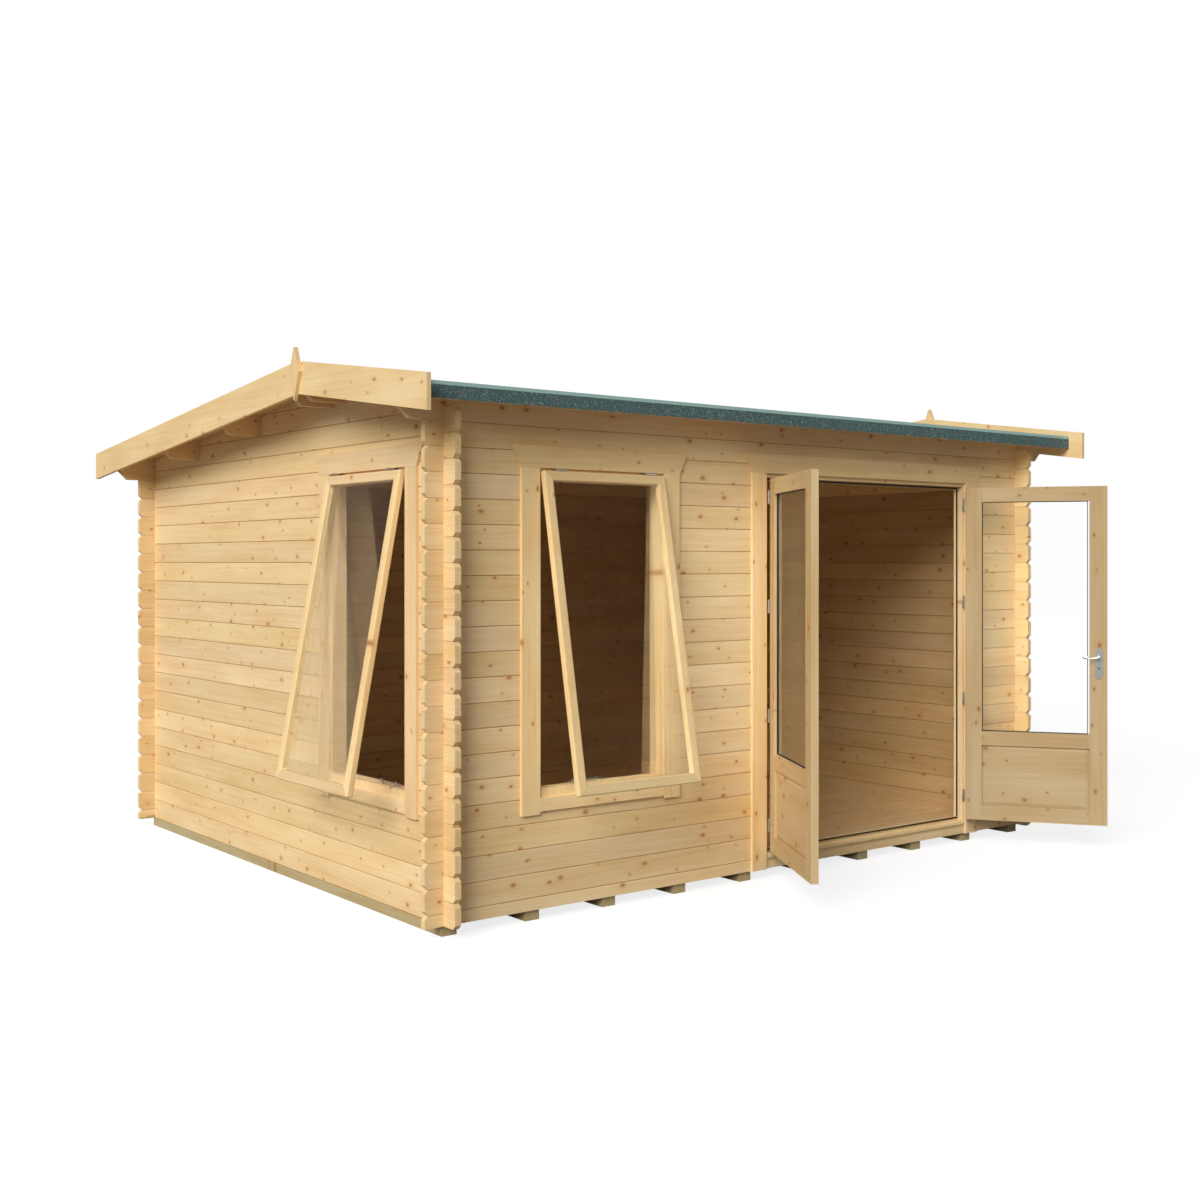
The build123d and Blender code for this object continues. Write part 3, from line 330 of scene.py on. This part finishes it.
sash_pine = pine("pine of the sashes", single(2, 0, 1), 31.0, (1.05, 1.05, 1.05), 0.35)
ROOM_PAINTED_SHADE = (0.68, 0.62, 0.55)                 # painted shade: the room's far walls are written darker than outside, as they look in shade
room_x_painted_shade = pine("pine logs inside, across", FRONT_WALL, 11.0, ROOM_PAINTED_SHADE)
room_y_painted_shade = pine("pine logs inside, front to back", SIDE_WALL, 57.0, ROOM_PAINTED_SHADE)
treated = pine("green treated bearer", single(1, 0, 2), 47.0, (0.62, 0.68, 0.66), 0.4)

felt = Finish("mineral felt")
axes = felt.split(felt.place())
grit = felt.noise(felt.place(), 420.0, 1.0, 0.9)
chips = felt.noise(felt.place(), 210.0, 0.0, 0.5)
dark = felt.ramp(grit, (0.34, linear(30, 50, 50)), (0.5, linear(66, 92, 90)), (0.68, linear(122, 148, 144)))
pale = felt.ramp(grit, (0.3, linear(142, 178, 172)), (0.7, linear(178, 208, 200)))
turned = felt.math("MULTIPLY", felt.math("GREATER_THAN", axes[2], FELT_LIP),
                   felt.math("LESS_THAN", axes[1], EAVE_FACE))
mineral = felt.mix(felt.spread(chips, 0.70, 0.80), dark, linear(168, 186, 180))
felt.link(felt.mix(turned, mineral, pale), felt.shader.inputs["Base Color"])
felt.plain(Roughness=0.95)
felt.bump(grit, 0.0008, 0.6)

glass = Finish("clear glass").plain(Base_Color=(0.97, 0.99, 0.98, 1.0), Roughness=0.0, IOR=1.1,
                                    Transmission_Weight=1.0, Alpha=0.6)
steel = Finish("satin steel").plain(Base_Color=linear(214, 214, 208) + (1.0,), Metallic=1.0, Roughness=0.28)
zinc = Finish("zinc hinge").plain(Base_Color=linear(176, 174, 164) + (1.0,), Metallic=0.8, Roughness=0.45)
rubber = Finish("black seal").plain(Base_Color=linear(34, 28, 24) + (1.0,), Roughness=0.7)

FINISHES = {
    "floor_bearers": treated, "floor_boards": floor_x, "roof_boards_front": roof_y, "roof_boards_back": roof_y,
    "left_gable": logs_y, "left_wall_lower": logs_y, "left_wall_front": logs_y, "left_wall_back": logs_y,
    "right_wall": logs_y, "right_gable": logs_y, "left_bargeboards": barge_y, "right_bargeboards": barge_y,
    "gable_finials": finial_z, "ridge_purlins": beam_x, "back_purlins": beam_x, "front_eave_log": beam_x,
    "back_eave_log": beam_x, "roof_felt": felt.material, "window_glass": glass,
    "left_door_glass": glass, "right_door_glass": glass, "eave_fascias": beam_x,
    "handle_plates": steel, "handle_levers": steel, "frame_hinges": zinc,
    "left_door_hinges": zinc, "right_door_hinges": zinc, "window_hinges": steel,
    "door_seal": rubber, "left_door_leaf": leaf_left_painted_shade, "right_door_leaf": leaf_right_painted_shade,
    "window_sashes": sash_pine, "door_threshold": threshold_x, "door_frame": trim_z,
}


def by_place(node, choices):
    """Give each face of a node the first finish whose test its middle passes."""
    mesh = node.data
    mesh.materials.clear()
    for finish, _ in choices:
        mesh.materials.append(finish)
    for face in mesh.polygons:
        face.material_index = next(i for i, (_, test) in enumerate(choices) if test(face.center))


for name, node in nodes.items():
    finish = FINISHES.get(name)
    if finish is None:
        finish = logs_x if name.startswith(("front_", "back_wall")) else trim_z
    node.data.materials.clear()
    node.data.materials.append(finish)

INNER_LEFT, INNER_RIGHT = LEFT + LOG, RIGHT - LOG
INNER_FRONT, INNER_BACK = FRONT + LOG, BACK - LOG
JOINT_BEVEL = 0.004           # the inner faces' bevels lie within this of the face
by_place(nodes["window_trims"], [
    (header_y, lambda c: c.x < SIDE_WINDOW_REACH and c.z > WINDOW_TOP),
    (header_x, lambda c: c.z > WINDOW_TOP),
    (side_window, lambda c: c.x < SIDE_WINDOW_REACH),
    (front_window, lambda c: True),
])
by_place(nodes["window_frames"], [(side_window, lambda c: c.x < SIDE_WINDOW_REACH),
                                  (front_window, lambda c: True)])
by_place(nodes["door_trims"], [(header_x, lambda c: c.z > DOOR_TOP), (trim_z, lambda c: True)])
# The back and right walls' inner faces get pine darkened by painted shade
by_place(nodes["back_wall"], [
    (room_x_painted_shade, lambda c: c.y < INNER_BACK + JOINT_BEVEL and INNER_LEFT < c.x < INNER_RIGHT),
    (logs_x, lambda c: True),
])
by_place(nodes["right_wall"], [
    (room_y_painted_shade, lambda c: c.x < INNER_RIGHT + JOINT_BEVEL and INNER_FRONT < c.y < INNER_BACK),
    (logs_y, lambda c: True),
])
by_place(nodes["door_frame"], [(header_x, lambda c: c.z > DOOR_FRAME_TOP), (trim_z, lambda c: True)])


def tidy(name, finish, body):
    """Name the piece that was just made, give it its finish and let it ride."""
    piece = bpy.context.object
    piece.name = name
    piece.data.materials.clear()
    piece.data.materials.append(finish)
    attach(piece, body)
    return piece


def box_piece(size, middle):
    """A box of the given size about its middle."""
    bpy.ops.object.select_all(action="DESELECT")
    bpy.ops.mesh.primitive_cube_add(size=1.0, location=middle)
    piece = bpy.context.object
    piece.scale = size
    bpy.ops.object.transform_apply(location=True, rotation=True, scale=True)
    return piece


def join(pieces):
    """Make one piece of several; the first keeps its name."""
    bpy.ops.object.select_all(action="DESELECT")
    for piece in pieces:
        piece.select_set(True)
    bpy.context.view_layer.objects.active = pieces[0]
    bpy.ops.object.join()
    return bpy.context.object


def set_in(piece, x_axis, y_axis, z_axis, place):
    """Lay a piece made at the origin along three axes into its place, with the place in its mesh."""
    rows = [list(row) for row in zip(x_axis, y_axis, z_axis, place)]
    piece.matrix_world = Matrix(rows + [[0, 0, 0, 1]])
    bpy.ops.object.select_all(action="DESELECT")
    piece.select_set(True)
    bpy.context.view_layer.objects.active = piece
    bpy.ops.object.transform_apply(location=True, rotation=True, scale=True)


# Tongues: each log stands on the next by a tongue, so that no light comes through a joint
TONGUE_T, TONGUE_H = 0.008, 0.009
OVER_DOOR = 18                          # front joints from here up run over the door
BESIDE_FRONT_WINDOW = range(4, 18)      # joints that the windows interrupt
BESIDE_SIDE_WINDOW = range(5, 18)
GABLE_SPANS = {20: (INNER_FRONT, 1.05), 21: (-1.27, -0.09)}     # joints cut short by the slopes


def wall_tongues(fixed, level, spans):
    """Boxes along one wall's joint; fixed is the wall's middle and level says along X or Y."""
    made = []
    for z, start, end in spans:
        middle, size = (start + end) / 2, end - start
        if level == "X":
            made.append(box_piece((size, TONGUE_T, TONGUE_H), (middle, fixed, z)))
        else:
            made.append(box_piece((TONGUE_T, size, TONGUE_H), (fixed, middle, z)))
    return made


def past_window(z, start, end, centre):
    """The joint's two spans beside a window."""
    return [(z, start, centre - BESIDE_WINDOW), (z, centre + BESIDE_WINDOW, end)]


front_spans, side_spans, right_spans = [], [], []
for n in range(20):
    z = BASE + COURSE / 2 + n * COURSE
    if n >= OVER_DOOR:
        front_spans.append((z, INNER_LEFT, INNER_RIGHT))
        continue
    if n in BESIDE_FRONT_WINDOW:
        front_spans += past_window(z, INNER_LEFT, DOOR_SPAN[0] - DOOR_CLEAR, WINDOW_X)
    else:
        front_spans.append((z, INNER_LEFT, DOOR_SPAN[0] - DOOR_CLEAR))
    front_spans.append((z, DOOR_SPAN[1] + DOOR_CLEAR, INNER_RIGHT))
back_spans = [(BASE + COURSE / 2 + n * COURSE, INNER_LEFT, INNER_RIGHT) for n in range(19)]
for n in range(1, 22):
    z = BASE + n * COURSE
    start, end = GABLE_SPANS.get(n, (INNER_FRONT, INNER_BACK))
    right_spans.append((z, start, end))
    side_spans += past_window(z, start, end, WINDOW_Y) if n in BESIDE_SIDE_WINDOW else [(z, start, end)]
join(wall_tongues(FRONT + LOG / 2, "X", front_spans) + wall_tongues(BACK - LOG / 2, "X", back_spans)
     + wall_tongues(LEFT + LOG / 2, "Y", side_spans) + wall_tongues(RIGHT - LOG / 2, "Y", right_spans))
tidy("log_tongues", logs_x, "cabin")

# Glazing seals round the door panes, drawn along the leaf, up, and across its thickness
SEAL_W, SEAL_DEPTH = 0.004, 0.013
PIN_TO_FACE = 0.004
for name, pin, along, outward, near in (
        ("left_door_glazing_seal", LEFT_PIN, LEFT_ALONG, LEFT_OUT, -0.0245),
        ("right_door_glazing_seal", RIGHT_PIN, RIGHT_ALONG, RIGHT_OUT, 0.0115)):
    across, half = near + SEAL_DEPTH / 2, SEAL_W / 2
    bars = []
    for z in (PANE_LOW + half, PANE_HIGH - half):
        bars.append(box_piece((PANE_END - PANE_START, SEAL_W, SEAL_DEPTH),
                              ((PANE_START + PANE_END) / 2, z, across)))
    for u in (PANE_START + half, PANE_END - half):
        bars.append(box_piece((SEAL_W, PANE_HIGH - PANE_LOW - 2 * SEAL_W, SEAL_DEPTH),
                              (u, (PANE_LOW + PANE_HIGH) / 2, across)))
    set_in(join(bars), (*along, 0), (0, 0, 1), (along[1], -along[0], 0),
           (pin[0] - PIN_TO_FACE * outward[0], pin[1] - PIN_TO_FACE * outward[1], 0))
    tidy(name, rubber, name.split("_glazing")[0])



def on_leaf(outward):
    """The spindle's place on the right leaf's face that looks outward."""
    return SPINDLE[0] + LEAF_HALF * outward[0], SPINDLE[1] + LEAF_HALF * outward[1], SPINDLE[2]


# Levers: a round neck and a flat bar that dips and flares out again at its end
LEVER_STEPS = ((0.016, -0.001, 0.62, 0.8), (0.022, -0.003, 0.85, 0.8), (0.018, 0.001, 1.3, 0.9),
               (0.014, 0.004, 1.7, 0.8), (0.010, 0.004, 1.15, 0.7))   # length, rise, width, thickness
for name, outward, up in (("handle_lever_inside", RIGHT_IN, -1), ("handle_lever_outside", RIGHT_OUT, 1)):
    bpy.ops.object.select_all(action="DESELECT")
    bpy.ops.mesh.primitive_cylinder_add(vertices=32, radius=0.0075, depth=0.036, location=(0, 0, 0.0214))
    neck = bpy.context.object
    bpy.ops.object.transform_apply(location=True, rotation=True, scale=True)
    bar = box_piece((0.015, 0.014, 0.010), (0.0, 0.0, 0.0385))
    for face in bar.data.polygons:
        face.select = face.center.x > 0.007
    for edge in bar.data.edges:
        edge.select = all(bar.data.vertices[v].co.x > 0.007 for v in edge.vertices)
    for vertex in bar.data.vertices:
        vertex.select = vertex.co.x > 0.007
    bpy.ops.object.mode_set(mode="EDIT")
    for step, rise, wide, thick in LEVER_STEPS:
        bpy.ops.mesh.extrude_region_move(TRANSFORM_OT_translate={"value": (step, up * rise, 0.0)})
        bpy.ops.transform.resize(value=(1.0, wide, thick))
    bpy.ops.object.mode_set(mode="OBJECT")
    smooth = bar.modifiers.new("smooth", "SUBSURF")
    smooth.levels = 2
    bpy.ops.object.modifier_apply(modifier="smooth")
    bpy.ops.object.shade_smooth()
    set_in(join([bar, neck]), (-RIGHT_ALONG[0], -RIGHT_ALONG[1], 0), (0, 0, up), (*outward, 0),
           on_leaf(outward))
    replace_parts(tidy(name, steel, "door_lever"), "handle_levers")

# Keyholes in both handle plates
for name, outward in (("keyhole_inside", RIGHT_IN), ("keyhole_outside", RIGHT_OUT)):
    hole = box_piece((0.0055, 0.013, 0.0008), (0.0, -0.060, 0.0032))
    set_in(hole, (-outward[1], outward[0], 0), (0, 0, 1), (*outward, 0), on_leaf(outward))
    tidy(name, rubber, "right_door")

# Window sashes: four rounded members, mitred at the corners
s, c = math.sin(SASH_OPEN), math.cos(SASH_OPEN)
BETWEEN_STILES = 0.302        # window's centre to the joint of a rail and a stile
for name, place, right, away in (
        ("front_window_sash", (WINDOW_X, FRONT - SASH_PROUD, SASH_PIVOT), (1, 0), (0, -1)),
        ("side_window_sash", (LEFT - SASH_PROUD, WINDOW_Y, SASH_PIVOT), (0, -1), (-1, 0))):
    sash = box_piece(SASH_SIZE, (0, -SASH_SIZE[1] / 2 - SASH_DROP, -SASH_SIZE[2] / 2))
    bpy.ops.object.mode_set(mode="EDIT")
    bpy.ops.mesh.select_mode(type="FACE")
    bpy.ops.mesh.select_all(action="DESELECT")
    bpy.ops.object.mode_set(mode="OBJECT")
    for face in sash.data.polygons:
        face.select = abs(face.normal.z) > 0.9
    bpy.ops.object.mode_set(mode="EDIT")
    bpy.ops.mesh.inset(thickness=SASH_RAIL, use_individual=True)
    bpy.ops.mesh.bridge_edge_loops()
    bpy.ops.object.mode_set(mode="OBJECT")
    round_edge = sash.modifiers.new("round edge", "BEVEL")
    round_edge.width, round_edge.segments, round_edge.limit_method = SASH_ROUND, 3, "ANGLE"
    bpy.ops.object.modifier_apply(modifier="round edge")
    set_in(sash, (*right, 0), (-away[0] * s, -away[1] * s, c), (away[0] * c, away[1] * c, s), place)
    piece = tidy(name, sash_pine, "cabin")
    along = 0 if right[0] else 1
    rail = header_x if right[0] else header_y
    by_place(piece, [(rail, lambda mid: abs(mid[along] - place[along]) < BETWEEN_STILES),
                     (sash_pine, lambda mid: True)])
    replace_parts(piece, "window_sashes")

# Casement stays: a bar on two pegs on each window's foot
STAY_PEGS = (-0.06, 0.07)     # pegs to the bar's middle
for name, middle, along in (("front_window_stay", (WINDOW_X - 0.09, FRONT + 0.022), "X"),
                            ("side_window_stay", (LEFT + 0.022, WINDOW_Y - 0.16), "Y")):
    across_x = along == "X"
    bar, base = ((0.19, 0.009), (0.022, 0.018)) if across_x else ((0.009, 0.19), (0.018, 0.022))
    made = [box_piece((*bar, 0.004), (*middle, STAY_FOOT + 0.017))]
    for side in STAY_PEGS:
        place = (middle[0] + side, middle[1]) if across_x else (middle[0], middle[1] + side)
        bpy.ops.object.select_all(action="DESELECT")
        bpy.ops.mesh.primitive_cylinder_add(vertices=20, radius=0.0045, depth=0.026,
                                            location=(*place, STAY_FOOT + 0.0128))
        bpy.ops.object.transform_apply(location=True, rotation=True, scale=True)
        made.append(bpy.context.object)
        made.append(box_piece((*base, 0.003), (*place, STAY_FOOT + 0.0014)))
    join(made)
    tidy(name, steel, "cabin")

# Floor, world, lamp and camera
bpy.ops.object.select_all(action="DESELECT")
bpy.ops.mesh.primitive_plane_add(size=60.0, location=(0, 0, 0))
ground = bpy.context.object
ground.name = "studio_floor"
white = Finish("studio floor white")
white.plain(Base_Color=(0.26, 0.26, 0.26, 1.0), Roughness=1.0, Emission_Color=WHITE)
glow = white.add("ShaderNodeLightPath")
looked_at = white.math("MAXIMUM", glow.outputs["Is Camera Ray"], glow.outputs["Is Transmission Ray"])
white.link(white.math("MULTIPLY", looked_at, FLOOR_GLOW), white.shader.inputs["Emission Strength"])
ground.data.materials.append(white.material)

world = bpy.data.worlds.new("studio")
bpy.context.scene.world = world
world.use_nodes = True
tree = world.node_tree
background = tree.nodes["Background"]
path = tree.nodes.new("ShaderNodeLightPath")


def world_math(operation, a, b):
    """One math node in the world's tree."""
    node = tree.nodes.new("ShaderNodeMath")
    node.operation = operation
    for socket, value in zip(node.inputs, (a, b)):
        if hasattr(value, "links"):
            tree.links.new(value, socket)
        else:
            socket.default_value = value
    return node.outputs[0]


seen = world_math("MAXIMUM", path.outputs["Is Camera Ray"], path.outputs["Is Transmission Ray"])
tree.links.new(world_math("ADD", world_math("MULTIPLY", seen, 1.0 - AMBIENT), AMBIENT),
               background.inputs["Strength"])
background.inputs["Color"].default_value = WHITE

lamp = bpy.data.lights.new("key from the left", "SUN")
lamp.energy = 3.0
lamp.angle = math.radians(36)
holder = bpy.data.objects.new("key from the left", lamp)
holder.rotation_euler = (math.radians(60), 0, math.radians(-62))
bpy.context.scene.collection.objects.link(holder)

camera = bpy.data.cameras.new("photo camera")
holder = bpy.data.objects.new("photo camera", camera)
holder.location = (-5.427933, -6.9268, 1.5911)
holder.rotation_euler = (math.radians(90), 0, math.radians(-37.75))
camera.sensor_width = 36.0
camera.lens = 43.469
camera.shift_y = -0.03171
bpy.context.scene.collection.objects.link(holder)
bpy.context.scene.camera = holder
bpy.context.scene.view_settings.view_transform = "Standard"
